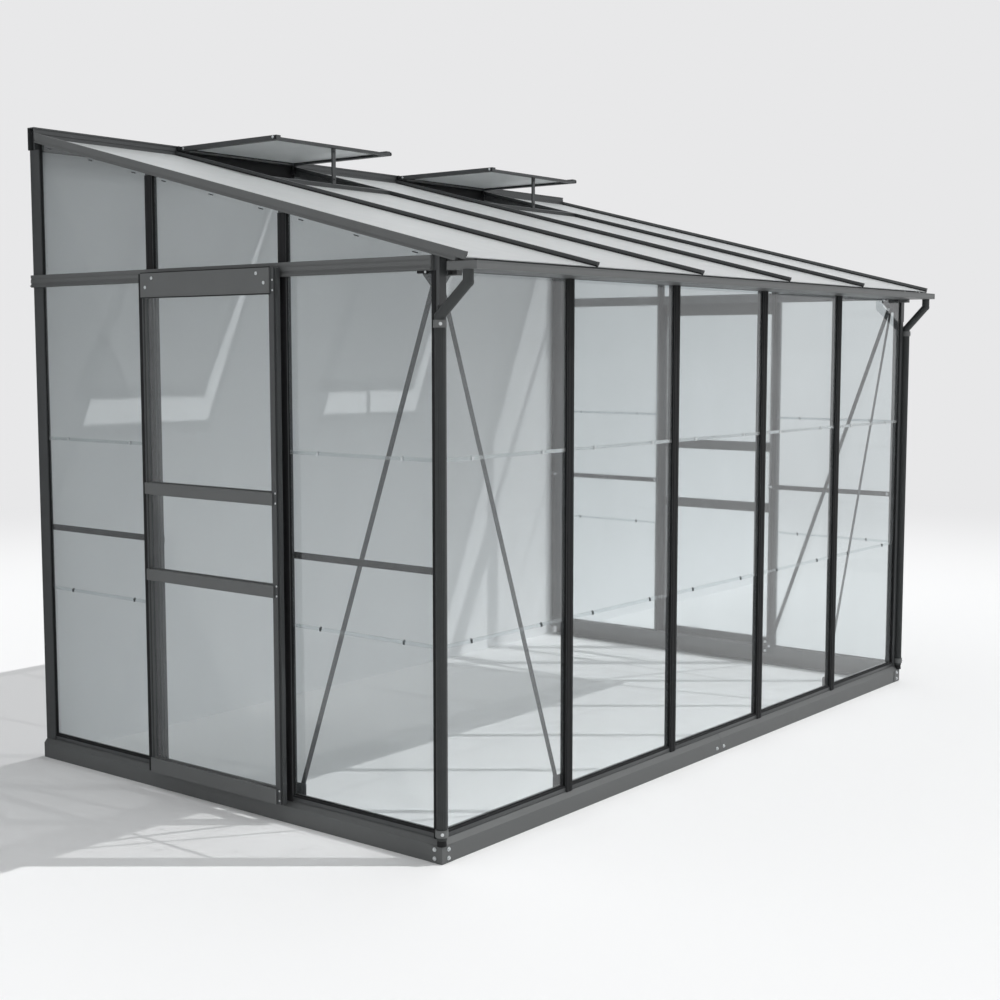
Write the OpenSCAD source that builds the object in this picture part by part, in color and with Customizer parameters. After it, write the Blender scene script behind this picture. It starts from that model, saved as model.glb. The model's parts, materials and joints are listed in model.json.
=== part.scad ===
// Lean-to glass greenhouse: aluminium frame, lapped glass, two sliding doors, two open roof vents.
// Millimetres, Z up. X runs along the front, Y from the front to the wall side.

/* [Bays] */
// Width of one glazing bay, bar centre to bar centre
bay = 730; // [600:5:800]
// Bays along the front
front_bays = 5; // [4:1:8]
// Distance from the outer bar line to the outer base face
edge = 20; // [14:1:30]

/* [Heights] */
// Height of the base rails
base_h = 100; // [80:1:130]
// Underside of the eave beam
eave_z = 1985; // [1800:5:2200]
// Roof pitch in degrees
pitch = 14; // [10:0.5:20]
// Height of the roof glass above the eave underside, over the front base face
roof_up = 61; // [58:1:80]

/* [Base rails] */
// Wall thickness of the folded base rail
base_t = 3; // [2:0.5:5]
// Height of the upstand behind the ledge
upstand_h = 20; // [14:1:26]
// Rise of the sloped ledge
ledge_rise = 18; // [10:1:24]
// Width of the sloped ledge
ledge_w = 16; // [10:1:18]
// Height of the inner return
return_h = 30; // [20:1:40]
// Length of each leg of a corner bracket
bracket_leg = 58; // [45:1:80]
// Thickness of the corner bracket
bracket_t = 2.5; // [1.5:0.5:4]
// Gap between the corner bracket and the edges of the base face
bracket_gap = 2; // [1:0.5:6]
// Length of the splice plate
splice_l = 120; // [80:1:160]
// Gap between the two front base lengths
splice_gap = 1; // [0.5:0.5:2]

/* [Glazing bars] */
// Width of a glazing bar's outer cap
cap_w = 36; // [28:1:44]
// Thickness of the cap
cap_t = 5; // [3:0.5:7]
// Distance from the base face to the cap's outer face
bar_in = 14; // [8:1:18]
// Width of the web between two panes
web_w = 8; // [5:0.5:12]
// Depth of the glass slot in a wall bar
slot = 12; // [11:0.5:16]
// Thickness of the glass seat flange
flange_t = 4; // [3:0.5:6]
// Width of the glass seat flange
flange_w = 26; // [22:1:32]
// Depth of the inner stem
stem_d = 20; // [12:1:30]
// Thickness of the inner stem
stem_t = 6; // [4:0.5:10]
// Chamfer along the cap's edges
cap_chamfer = 2; // [1:0.5:3]
// Length of a corner post's sides
post_w = 41; // [38:1:50]
// Length of a corner post's outer faces
lip_w = 34; // [30:1:37]
// Length of the slot lips on a wall post
wing = 16; // [12:1:24]

/* [Glass] */
// Thickness of the glass
glass_t = 3; // [2:0.5:3.5]
// Clearance between a glass edge and the bar web
glass_gap = 2; // [1:0.5:4]
// Overlap of two stacked panes
lap = 12; // [8:1:20]
// Gap between two lapping panes
lap_gap = 0.3; // [0.2:0.05:0.4]
// Depth to which a post or the eave beam takes a pane's edge
glass_in = 11; // [8:0.5:14]

/* [Roof] */
// Depth of the glass slot in a roof bar
roof_slot = 8; // [6:0.5:12]
// Height of a roof bar cap
roof_cap_t = 12; // [8:0.5:14]
// Width of a roof bar cap
roof_cap_w = 16; // [14:1:24]
// Depth of the roof bar stem below the seat flange
roof_stem_d = 22; // [14:1:30]
// Overhang of the roof in front of the base face
roof_over = 100; // [90:1:110]
// Depth of the gable rafter below the glass
rafter_d = 18; // [14:1:26]
// Thickness of the rafter above the gable glass
rafter_top = 6; // [5:0.5:8]
// Distance from the base face to the rafter's outer face
rafter_in = 5; // [3:1:10]
// Thickness of the rafter's outer wall
rafter_wall = 6; // [5:0.5:8]
// Width of the rafter's cap
rafter_cap_w = 12; // [11:0.5:16]
// Distance in front of the base face where the rafter's lower part ends
rafter_cut = 64; // [50:1:66]
// Depth of the ridge bar in Y
ridge_d = 44; // [36:1:60]
// Height of the ridge bar
ridge_h = 91; // [80:1:110]
// Height of the ridge bar above the roof glass
ridge_up = 44; // [36:1:50]
// Wall thickness of the ridge bar
ridge_t = 4; // [3:0.5:6]

/* [Gutter] */
// Distance of the gutter's front face from the base face
gutter_out = 146; // [135:1:165]
// Height of the gutter's front face
gutter_h = 27; // [22:1:30]
// Wall thickness of the gutter
gutter_t = 3; // [2:0.5:4]
// Height of the gutter's back wall
gutter_back_h = 41; // [34:1:42]
// Depth of the recess in the gutter's front face
recess_d = 1.5; // [1:0.5:2]
// Height of the lips above and below that recess
lip_h = 4; // [3:0.5:6]
// Distance of the gutter's ends from the gable base faces
gutter_in = 11; // [8:1:14]
// Distance in front of the base face at which the gutter clears the corner post
notch_d = 20; // [16:1:30]
// Gap between the corner post and the gutter's notch
notch_gap = 1; // [0.5:0.5:3]
// Depth of the hollow box under each end of the gutter
box_d = 44; // [36:1:50]
// Height of that box
box_h = 16; // [12:1:22]
// Length of that box
box_l = 24; // [16:1:40]
// Outer radius of the downpipe
pipe_r = 18; // [15:0.5:18]
// Wall thickness of the downpipe
pipe_t = 2.5; // [1.5:0.5:4]
// Bulge of the elbow's bends over the pipe radius
bend_bulge = 1; // [0.5:0.5:2]
// Distance of the pipe axis inside the base faces
pipe_in = 5; // [3:0.5:6]
// Clearance of the cove that takes the pipe in the corner post
cove_gap = 1.5; // [1.5:0.5:3]
// Number of flutes round the downpipe
flutes = 16; // [8:1:24]
// Radius of a flute
flute_r = 1.75; // [1:0.25:2]
// Gap between the base ledge and the downpipe's lower end
pipe_foot_up = 4; // [3:1:30]
// Distance of the spigot's axis from the gable base face
elbow_x = 20; // [19:0.5:30]
// Distance of the spigot's axis in front of the front base face
elbow_y = 103; // [95:1:108]
// Drop of the sloped elbow
elbow_drop = 109; // [90:1:130]
// Length of the straight spigot below the gutter
spigot = 40; // [30:1:60]
// Height of a pipe clip
clip_h = 25; // [15:1:35]
// Thickness of a pipe clip
clip_t = 4; // [3:0.5:6]
// Clearance between pipe and clip
clip_gap = 0.3; // [0.2:0.05:0.3]
// Distance of a clip from the pipe's end
clip_in = 12; // [8:1:30]

/* [Track] */
// Height of the gable beam that carries the door
track_h = 50; // [40:1:60]
// Width of the grooves along the beam, the ridge bar and the rafters
groove_w = 6; // [3:0.5:8]
// Depth of those grooves
groove_d = 2; // [1:0.5:4]
// Overlap of the beam on the corner post
track_lap = 8; // [5:1:15]
// Width of the runner that carries the door
runner_w = 5; // [4:0.5:6]
// Thickness of the runner
runner_t = 4; // [3:0.5:6]
// Height of the runner's top above the beam's underside
runner_up = 8; // [5:0.5:12]
// Radius of a door roller
roller_r = 9; // [7:0.5:10]
// Radius of a roller's axle
axle_r = 4; // [3:0.5:5]
// Gap between roller and runner, and between roller and beam
roller_gap = 0.3; // [0.2:0.05:0.5]
// Distance of a roller from the door's edge
roller_in = 90; // [60:5:140]

/* [Doors] */
// Overlap of a door on the bar line at each side
door_lap = 15; // [12:1:20]
// Width of a door stile
stile_w = 33; // [28:1:40]
// Depth of a door stile
stile_d = 24; // [18:1:30]
// Width of the stepped outer part of a stile
step_w = 8; // [5:1:12]
// Depth of that step
step_d = 7; // [4:0.5:10]
// Thickness of the rail faces in front of the stiles
rail_face = 6; // [3:0.5:8]
// Length by which a rail face overlaps each stile
rail_over = 8; // [5:1:12]
// Height of the top plate
top_plate_h = 90; // [70:1:110]
// Height of the upper edge of the door above the eave underside
door_up = 32; // [20:1:40]
// Drop of the door's lower edge below the base top
door_down = 24; // [10:1:34]
// Height of the bottom rail
bottom_rail_h = 57; // [45:1:75]
// Height of the middle rails
mid_rail_h = 44; // [35:1:55]
// Height of the lower middle rail above the door's lower edge
rail_up_low = 762; // [700:1:820]
// Height of the upper middle rail above the door's lower edge
rail_up_high = 1098; // [1020:1:1180]
// Running gap between door and gable beam
door_gap = 11; // [11:0.5:16]

/* [Vents] */
// Length of a vent from hinge to free edge
vent_l = 630; // [500:5:680]
// Gap between a vent and the bay's bar centres
vent_side = 10; // [8:1:16]
// Width of a vent frame bar
vent_bar = 25; // [18:1:34]
// Height of a vent frame bar
vent_h = 20; // [16:1:28]
// Height of the bar at a vent's free end
vent_end_h = 12; // [11:0.5:14]
// Height of the open vent over the roof bar caps
vent_clear = 1; // [0.5:0.5:3]
// Width of the vent sill
sill_w = 26; // [18:1:36]
// Width of the vent stay
stay_w = 20; // [12:1:28]
// Thickness of the vent stay
stay_t = 8; // [5:1:12]

/* [Bracing] */
// Width of a brace
brace_w = 20; // [14:1:28]
// Thickness of braces, plates and middle bars
plate_t = 3; // [2:0.5:5]
// Height of a middle bar
mid_bar_h = 25; // [18:1:34]
// Centre height of the middle bars
mid_bar_z = 985; // [900:5:1100]
// Side length of an upper corner plate
gusset = 65; // [55:5:100]
// Overlap of plates and middle bars on a post
plate_lap = 8; // [5:1:11]
// Gap between the upper corner plates of two walls
plate_gap = 1; // [0.5:0.5:3]
// Width of a lower brace plate
foot_w = 70; // [50:5:100]
// Height of a lower brace plate
foot_h = 80; // [60:5:110]
// Distance of a brace's upper end from the post
brace_in = 22; // [16:1:30]
// Distance of a brace's upper end below the eave underside
brace_top = 40; // [30:1:50]
// Distance of a brace's lower end below the base top
brace_foot = 10; // [0:1:20]
// Distance of a brace's lower end from the bar line
brace_short = 12; // [8:1:20]

/* [Wall fixing] */
// Width of the wall flange on a wall post
wall_flange = 26; // [24:1:40]
// Diameter of the wall fixing holes
fix_d = 9; // [6:0.5:12]
// Distance of the holes from the flange's edge
fix_in = 10; // [8:1:14]
// Height of the lowest hole
fix_z = 400; // [300:10:500]
// Height from one hole to the next
fix_step = 692.5; // [500:2.5:750]

/* [Hidden] */
$fn = 48;
// Overlap that joins two shapes or lets a cut run clear of a face.
eps = 1;
gable_bays = 3;
len = front_bays * bay + 2 * edge;
depth = gable_bays * bay + 2 * edge;
half = len / 2;
seat = bar_in + cap_t + slot;
inner = seat + flange_t + stem_d;
post_in = bar_in + post_w;
lip_in = bar_in + lip_w;
slot_in = lip_in - glass_in;
notch_x = lip_in + notch_gap;
rafter_seat = rafter_in + rafter_wall;
y_mid = (depth - gutter_out) / 2;
tanp = tan(pitch);
cosp = cos(pitch);
ledge_z = base_h - upstand_h;
fascia_h = ledge_z - ledge_rise;
roof_z0 = eave_z + roof_up;
ridge_y = depth - ridge_d;
ridge_top = roof_z0 + ridge_y * tanp + ridge_up;
ridge_low = ridge_top - ridge_h;
roof_top = roof_slot + roof_cap_t;
slope_l = (ridge_y + 2 * roof_over) / cosp;
gutter_top = eave_z + gutter_h;
pane_top = eave_z + glass_in;
pane_pitch = (pane_top - base_h + 2 * lap) / 3;
pipe_top_z = eave_z - spigot - elbow_drop;
pipe_foot_z = ledge_z + pipe_foot_up;
runner_z = eave_z + runner_up;
door_w = bay + 2 * door_lap;
door_mid = depth / 2;
door_y0 = door_mid - door_w / 2;
door_d0 = -door_gap - stile_d;
door_z = base_h - door_down;
door_top = eave_z + door_up;
rail_low_z = door_z + rail_up_low;
rail_high_z = door_z + rail_up_high;
vent_w = bay - 2 * vent_side;
vent_z = roof_z0 + ridge_y * tanp + roof_top / cosp + vent_clear;
vent_y0 = ridge_y - vent_l;
vent_bays = [1, front_bays - 2];
sill_u = ridge_y / cosp - vent_l;

function bar_x(i) = -half + edge + i * bay;
function bar_y(j) = edge + j * bay;
function roof_z(y, n) = roof_z0 + y * tanp + n / cosp;

// Everything is drawn from the front base face and then centred in Y.
module placed() {
  translate([0, -y_mid, 0]) children();
}

// A (y, z) outline drawn out along X.
module along_x(x0, x1) {
  translate([x0, 0, 0]) rotate([90, 0, 90]) linear_extrude(x1 - x0) children();
}

// A (d, z) outline drawn out along Y on the left gable; d is measured inward from the base face.
module along_gable(y0, y1) {
  translate([-half, y1, 0]) rotate([90, 0, 0]) linear_extrude(y1 - y0) children();
}

// The roof's own frame: u up the slope from the base face, n out of the glass.
module on_roof() {
  translate([0, 0, roof_z0]) rotate([pitch, 0, 0]) children();
}

// An (x, n) outline drawn up the slope from the overhang to the ridge bar.
module up_slope() {
  intersection() {
    on_roof() translate([0, slope_l, 0]) rotate([90, 0, 0])
      linear_extrude(slope_l + roof_over / cosp) children();
    translate([-len, -2 * roof_over, 0]) cube([2 * len, ridge_y + 2 * roof_over, 2 * ridge_top]);
  }
}

// Both gables: the left one and its mirror image.
module both_gables() {
  children();
  mirror([1, 0, 0]) children();
}

// A round rod from p to q.
module rod(p, q, r) {
  v = q - p;
  l = norm(v);
  translate(p) rotate([0, acos(v[2] / l), atan2(v[1], v[0])]) cylinder(h = l, r = r);
}

// Base rails

module base_outline() {
  polygon([[0, 0], [inner, 0], [inner, base_t], [base_t, base_t], [base_t, fascia_h - base_t / 3],
    [ledge_w + base_t, ledge_z - base_t], [inner - base_t, ledge_z - base_t],
    [inner - base_t, ledge_z - return_h], [inner, ledge_z - return_h], [inner, base_h],
    [bar_in + cap_t, base_h], [bar_in + cap_t, ledge_z], [ledge_w, ledge_z], [0, fascia_h]]);
}

// The prism that a mitre takes off the front rail at the left corner.
module mitre_front() {
  translate([-half, 0, -eps]) linear_extrude(base_h + 2 * eps)
    polygon([[-eps, -eps], [inner + eps, inner + eps], [-eps, inner + eps]]);
}

// The prism that the same mitre takes off the gable rail.
module mitre_gable() {
  translate([-half, 0, -eps]) linear_extrude(base_h + 2 * eps)
    polygon([[-eps, -eps], [inner + eps, inner + eps], [inner + eps, -eps]]);
}

module base_front() {
  color("#4a4c4d") placed() both_gables() difference() {
    along_x(-half, -splice_gap / 2) base_outline();
    mitre_front();
  }
}

module base_splice() {
  color("#4a4c4d") placed() translate([-splice_l / 2, base_t, base_t])
    cube([splice_l, plate_t, fascia_h - 2 * base_t - bracket_gap]);
}

module base_gable() {
  difference() {
    along_gable(0, depth) base_outline();
    mitre_gable();
  }
}

module base_left() {
  color("#4a4c4d") placed() base_gable();
}

module base_right() {
  color("#4a4c4d") placed() mirror([1, 0, 0]) base_gable();
}

module base_corners() {
  color("#46484a") placed() both_gables() translate([-half, 0, bracket_gap])
    linear_extrude(fascia_h - 2 * bracket_gap)
    polygon([[-bracket_t, -bracket_t], [bracket_leg, -bracket_t], [bracket_leg, 0], [0, 0],
      [0, bracket_leg], [-bracket_t, bracket_leg]]);
}

// Upright bars and posts

// Plan of a glazing bar on the front wall, centred on x = 0; y is the depth from the base face.
module bar_outline() {
  w = cap_w / 2;
  polygon([[-w, bar_in + cap_t], [-w, bar_in + cap_chamfer], [-w + cap_chamfer, bar_in],
    [w - cap_chamfer, bar_in], [w, bar_in + cap_chamfer], [w, bar_in + cap_t]]);
  translate([-web_w / 2, bar_in]) square([web_w, seat - bar_in]);
  translate([-flange_w / 2, seat]) square([flange_w, flange_t]);
  translate([-stem_t / 2, seat]) square([stem_t, inner - seat]);
}

// The bar's foot steps over the base rail's upstand.
module bar_foot_cut(x0) {
  translate([x0 - cap_w, bar_in + cap_t, 0]) cube([2 * cap_w, inner, base_h]);
}

module front_bars() {
  color("#3b3d3e") placed() for (i = [1 : front_bays - 1]) difference() {
    translate([bar_x(i), 0, ledge_z]) linear_extrude(eave_z - ledge_z) bar_outline();
    bar_foot_cut(bar_x(i));
  }
}

// Everything under the gable rafter.
module below_rafter() {
  intersection() {
    children();
    translate([-len, 0, 0]) rotate([90, 0, 90]) linear_extrude(2 * len)
      polygon([[0, 0], [depth, 0], [depth, roof_z(depth, -rafter_d)], [0, roof_z(0, -rafter_d)]]);
  }
}

// Plan of a corner post: a slot for each wall's glass, between a short outer lip and a longer seat.
module corner_post() {
  below_rafter() translate([-half, 0, ledge_z]) linear_extrude(ridge_top) difference() {
    translate([bar_in, bar_in]) square(post_w);
    translate([slot_in, bar_in + cap_t]) square([inner, slot]);
    translate([bar_in + cap_t, slot_in]) square([slot, inner]);
    translate([lip_in, 0]) square([inner, seat]);
    translate([0, lip_in]) square([seat, inner]);
  }
}

// The post steps over the base and has a cove that takes the downpipe.
module corner_posts() {
  color("#3b3d3e") placed() both_gables() difference() {
    corner_post();
    translate([-half + bar_in + cap_t, bar_in + cap_t, 0]) cube([inner, inner, base_h]);
    translate([-half + pipe_in, pipe_in, 0]) cylinder(h = pipe_top_z + 2 * pipe_r, r = pipe_r + cove_gap);
  }
}

module wall_post() {
  difference() {
    translate([-half, 0, ledge_z]) linear_extrude(ridge_low - ledge_z) union() {
      translate([bar_in, ridge_y]) square([seat + flange_t - bar_in, ridge_d]);
      translate([bar_in, ridge_y - wing]) square([cap_t, wing + eps]);
      translate([seat, ridge_y - wing]) square([flange_t, wing + eps]);
      translate([seat, depth - flange_t]) square([wall_flange, flange_t]);
    }
    translate([-half + bar_in + cap_t, ridge_y - 2 * wing, 0]) cube([2 * wall_flange, depth, base_h]);
    for (k = [0 : 2]) translate([-half + seat + wall_flange - fix_in, depth + eps, fix_z + k * fix_step])
      rotate([90, 0, 0]) cylinder(h = flange_t + 2 * eps, d = fix_d);
  }
}

module wall_posts() {
  color("#3b3d3e") placed() both_gables() wall_post();
}

module gable_bar(j) {
  below_rafter() difference() {
    translate([-half, bar_y(j), ledge_z]) linear_extrude(ridge_top) rotate(-90) mirror([1, 0]) bar_outline();
    translate([-half + bar_in + cap_t, bar_y(j) - cap_w, 0]) cube([inner, 2 * cap_w, base_h]);
  }
}

module gable_bars() {
  color("#3b3d3e") placed() both_gables() for (j = [1 : gable_bays - 1]) gable_bar(j);
}

// Horizontal members

module track() {
  along_gable(lip_in - track_lap, depth) difference() {
    translate([0, eave_z]) square([bar_in, track_h]);
    for (k = [0.3, 0.7]) translate([-eps, eave_z + track_h * k - groove_w / 2])
      square([groove_d + eps, groove_w]);
  }
}

// The runner is a strip on the beam's face, under the door's rollers.
module runner() {
  along_gable(lip_in - track_lap, depth)
    translate([-runner_w, runner_z - runner_t]) square([runner_w, runner_t]);
}

module door_runners() {
  color("#414344") placed() both_gables() runner();
}

module track_left() {
  color("#414344") placed() track();
}

module track_right() {
  color("#414344") placed() mirror([1, 0, 0]) track();
}

module eave_beam() {
  color("#3b3d3e") placed() along_x(-half + post_in, half - post_in)
    polygon([[bar_in, eave_z], [bar_in + cap_t, eave_z], [bar_in + cap_t, pane_top + glass_gap],
      [seat, pane_top + glass_gap], [seat, eave_z], [inner, eave_z], [inner, roof_z(inner, -flange_t)],
      [bar_in, roof_z(bar_in, -flange_t)]]);
}

// A channel open below, with two grooves along its front face.
module ridge_bar() {
  cut = min(groove_d, ridge_t / 2);
  color("#3b3d3e") placed() along_x(-half + rafter_in, half - rafter_in) difference() {
    translate([ridge_y, ridge_low]) square([ridge_d, ridge_h]);
    translate([ridge_y + ridge_t, ridge_low - eps])
      square([ridge_d - 2 * ridge_t, ridge_h - ridge_t + eps]);
    for (k = [0.7, 0.9]) translate([ridge_y - eps, ridge_low + ridge_h * k - groove_w / 2])
      square([cut + eps, groove_w]);
  }
}

// Roof

// A tall, narrow cap over the glass, a wide seat under it and a stem below.
module roof_bar_outline() {
  translate([-roof_cap_w / 2, roof_slot]) square([roof_cap_w, roof_cap_t]);
  translate([-web_w / 2, -flange_t]) square([web_w, roof_slot + flange_t + eps]);
  translate([-flange_w / 2, -flange_t]) square([flange_w, flange_t]);
  translate([-stem_t / 2, -flange_t - roof_stem_d]) square([stem_t, roof_stem_d + eps]);
}

module roof_bars() {
  color("#3b3d3e") placed() for (i = [1 : front_bays - 1]) difference() {
    up_slope() translate([bar_x(i), 0]) roof_bar_outline();
    // The stem stops at the eave beam.
    translate([bar_x(i) - cap_w, 0, 0]) rotate([90, 0, 90]) linear_extrude(2 * cap_w)
      polygon([[-2 * roof_over, 0], [inner, 0], [inner, roof_z(inner, -flange_t)],
        [-2 * roof_over, roof_z(-2 * roof_over, -flange_t)]]);
  }
}

// A grooved outer wall, a narrow cap over the roof glass and a slot for the gable glass below it.
module rafter_outline() {
  difference() {
    translate([rafter_in, -rafter_d]) square([inner - rafter_in, rafter_d + roof_top]);
    translate([bar_in + cap_t, -rafter_d - eps]) square([slot, rafter_d - rafter_top + eps]);
    translate([rafter_seat, 0]) square([inner, roof_slot]);
    translate([rafter_in + rafter_cap_w, roof_slot - eps]) square([inner, roof_top]);
    translate([rafter_in - eps, -rafter_d / 2 - groove_w / 2])
      square([min(groove_d, rafter_wall / 2) + eps, groove_w]);
  }
}

// Over the gutter a rafter keeps only its upper part.
module gable_rafters() {
  color("#3b3d3e") placed() both_gables() difference() {
    up_slope() translate([-half, 0]) rafter_outline();
    on_roof() translate([-half, -2 * roof_over, -2 * rafter_d])
      cube([2 * inner, 2 * roof_over - rafter_cut, 2 * rafter_d - rafter_top]);
  }
}

// Gutter and downpipes

// Profile of the trough, with a recess along its front face.
module gutter_outline() {
  difference() {
    union() {
      translate([-gutter_out, eave_z]) square([gutter_out + bar_in, gutter_h]);
      translate([bar_in - gutter_t, eave_z]) square([gutter_t, gutter_back_h]);
    }
    translate([-gutter_out + gutter_t + recess_d, eave_z + gutter_t])
      square([gutter_out + bar_in - 2 * gutter_t - recess_d, gutter_h]);
    translate([-gutter_out - eps, eave_z + lip_h]) square([recess_d + eps, gutter_h - 2 * lip_h]);
  }
}

// The notch that lets the left corner post pass the gutter's end, with the cap's wall round it.
module gutter_notch() {
  translate([-half, -notch_d - gutter_t, 0]) cube([notch_x + gutter_t, depth, 2 * eave_z]);
}

// A box under the left end of the trough, open towards the post.
module gutter_box() {
  translate([-half + notch_x + gutter_t, bar_in - box_d, eave_z - box_h]) difference() {
    cube([box_l, box_d, box_h + eps]);
    translate([-eps, gutter_t, gutter_t]) cube([box_l - gutter_t + eps, box_d - 2 * gutter_t, 2 * box_h]);
  }
}

module gutter() {
  color("#5c5e5f") placed() {
    difference() {
      along_x(-half + gutter_in + gutter_t, half - gutter_in - gutter_t) gutter_outline();
      both_gables() gutter_notch();
    }
    both_gables() gutter_box();
  }
}

// The wall that closes the trough's end and steps back round the corner post.
module gutter_caps() {
  color("#505253") placed() both_gables() translate([-half, 0, eave_z]) linear_extrude(gutter_h)
    polygon([[gutter_in, -gutter_out], [gutter_in, -notch_d], [notch_x, -notch_d], [notch_x, bar_in],
      [notch_x + gutter_t, bar_in], [notch_x + gutter_t, -notch_d - gutter_t],
      [gutter_in + gutter_t, -notch_d - gutter_t], [gutter_in + gutter_t, -gutter_out]]);
}

module flute_outline() {
  difference() {
    circle(pipe_r);
    circle(pipe_r - pipe_t);
    for (k = [0 : flutes - 1]) rotate(360 * k / flutes) translate([pipe_r, 0]) circle(flute_r);
  }
}

// The left downpipe: a fluted tube up the corner post, then a closed elbow to the gutter.
module downpipe() {
  p = [-half + pipe_in, pipe_in, pipe_top_z];
  q = [-half + elbow_x, -elbow_y, eave_z - spigot];
  translate([p[0], p[1], pipe_foot_z])
    linear_extrude(pipe_top_z - clip_in - pipe_foot_z + eps) flute_outline();
  rod([p[0], p[1], pipe_top_z - clip_in], p, pipe_r);
  translate(p) sphere(pipe_r + bend_bulge);
  rod(p, q, pipe_r);
  translate(q) sphere(pipe_r + bend_bulge);
  rod(q, [q[0], q[1], eave_z], pipe_r);
}

module downpipes() {
  color("#3b3d3e") placed() both_gables() downpipe();
}

// A band round the pipe whose ends land on the post's two outer faces.
module pipe_clip(z) {
  r = pipe_r + clip_gap;
  translate([-half, 0, z]) linear_extrude(clip_h) difference() {
    translate([pipe_in, pipe_in]) circle(r + clip_t);
    translate([pipe_in, pipe_in]) circle(r);
    translate([bar_in, bar_in]) square(post_w);
  }
}

module pipe_clips() {
  color("#2f3132") placed() both_gables() {
    pipe_clip(pipe_foot_z + clip_in);
    pipe_clip(pipe_top_z - clip_h - clip_in);
  }
}

// Middle bars, braces and plates on the inner plane of the walls

module gable_mid_bars() {
  color("#3b3d3e") placed() both_gables() {
    translate([-half + inner, inner - plate_lap, mid_bar_z - mid_bar_h / 2])
      cube([plate_t, bar_y(1) + stem_t / 2 - inner + plate_lap, mid_bar_h]);
    translate([-half + inner, bar_y(2) - stem_t / 2, mid_bar_z - mid_bar_h / 2])
      cube([plate_t, depth - flange_t - bar_y(2) + stem_t / 2, mid_bar_h]);
  }
}

// A flat brace in an (s, z) plane, from the upper corner plate to the foot of the first bar.
module brace_outline() {
  p = [inner + brace_in, eave_z - brace_top];
  v = [edge + bay - brace_short, base_h - brace_foot] - p;
  translate(p) rotate(atan2(v[1], v[0])) translate([0, -brace_w / 2]) square([norm(v), brace_w]);
}

module braces() {
  color("#45494b") placed() both_gables() {
    translate([-half, inner + 2 * plate_t, 0]) rotate([90, 0, 0]) linear_extrude(plate_t) brace_outline();
    translate([-half + inner + plate_t, 0, 0]) rotate([90, 0, 90]) linear_extrude(plate_t) brace_outline();
  }
}

// Upper corner plate and lower foot plate in the same (s, z) plane.
module plate_outline() {
  up = gusset / 6;
  polygon([[inner - plate_lap, eave_z - gusset], [inner + gusset / 4, eave_z - gusset],
    [inner + gusset, eave_z - up], [inner + gusset, eave_z + up], [inner - plate_lap, eave_z + up]]);
  translate([edge + bay - brace_short - foot_w / 2, base_h - foot_h / 2]) square([foot_w, foot_h]);
}

module brace_plates() {
  color("#5a5d5f") placed() both_gables() {
    translate([-half, inner + plate_t, 0]) rotate([90, 0, 0]) linear_extrude(plate_t) plate_outline();
    translate([-half + inner, 0, 0]) rotate([90, 0, 90]) linear_extrude(plate_t) difference() {
      plate_outline();
      square([inner + plate_t + plate_gap, 2 * eave_z]);
    }
  }
}

// Glass

// Depth of a sheet's outer face; row 0 lies on the seat, each higher row one sheet further out.
function pane_face(row) = seat - (row + 1) * glass_t - row * lap_gap;

// A sheet on the front wall between two bars.
module front_pane(i, row) {
  x0 = i == 0 ? -half + slot_in + glass_gap : bar_x(i) + web_w / 2 + glass_gap;
  x1 = i == front_bays - 1 ? half - slot_in - glass_gap : bar_x(i + 1) - web_w / 2 - glass_gap;
  translate([x0, pane_face(row), base_h + row * (pane_pitch - lap)])
    cube([x1 - x0, glass_t, pane_pitch]);
}

// A sheet on the left gable in the first or last bay.
module gable_pane(first, row) {
  y0 = first ? slot_in + glass_gap : bar_y(2) + web_w / 2 + glass_gap;
  y1 = first ? bar_y(1) - web_w / 2 - glass_gap : ridge_y - glass_gap;
  translate([-half + pane_face(row), y0, base_h + row * (pane_pitch - lap)])
    cube([glass_t, y1 - y0, pane_pitch]);
}

module glass_row(row) {
  color("#c5d3d6", 0.35) placed() {
    for (i = [0 : front_bays - 1]) front_pane(i, row);
    both_gables() {
      gable_pane(true, row);
      gable_pane(false, row);
    }
  }
}

module glass_low() {
  glass_row(0);
}

module glass_mid() {
  glass_row(1);
}

module glass_top() {
  glass_row(2);
}

// The panes between the gable beam and the rafter.
module gable_top_pane(y0, y1) {
  translate([-half + seat - glass_t, 0, 0]) rotate([90, 0, 90]) linear_extrude(glass_t)
    polygon([[y0, eave_z + flange_t], [y1, eave_z + flange_t], [y1, roof_z(y1, -rafter_top - glass_gap)],
      [y0, roof_z(y0, -rafter_top - glass_gap)]]);
}

module gable_top_glass() {
  color("#c5d3d6", 0.35) placed() both_gables() {
    gable_top_pane(slot_in + glass_gap, bar_y(1) - web_w / 2 - glass_gap);
    gable_top_pane(bar_y(1) + web_w / 2 + glass_gap, bar_y(2) - web_w / 2 - glass_gap);
    gable_top_pane(bar_y(2) + web_w / 2 + glass_gap, ridge_y - glass_gap);
  }
}

// A roof pane ends at the ridge bar, or under the sill of a vent.
module roof_pane(i) {
  vented = i == vent_bays[0] || i == vent_bays[1];
  x0 = i == 0 ? -half + rafter_seat + glass_gap : bar_x(i) + web_w / 2 + glass_gap;
  x1 = i == front_bays - 1 ? half - rafter_seat - glass_gap : bar_x(i + 1) - web_w / 2 - glass_gap;
  u0 = -roof_over / cosp + glass_t;
  intersection() {
    on_roof() translate([x0, u0, 0]) cube([x1 - x0, (vented ? sill_u + sill_w / 2 : slope_l) - u0, glass_t]);
    translate([x0, -2 * roof_over, 0]) cube([x1 - x0, ridge_y + 2 * roof_over, 2 * ridge_top]);
  }
}

module roof_glass() {
  color("#dfe5e6", 0.4) placed() for (i = [0 : front_bays - 1]) roof_pane(i);
}

// Roof vents, fixed open

module both_vents() {
  for (i = vent_bays) translate([bar_x(i) + vent_side, vent_y0, vent_z]) children();
}

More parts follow.
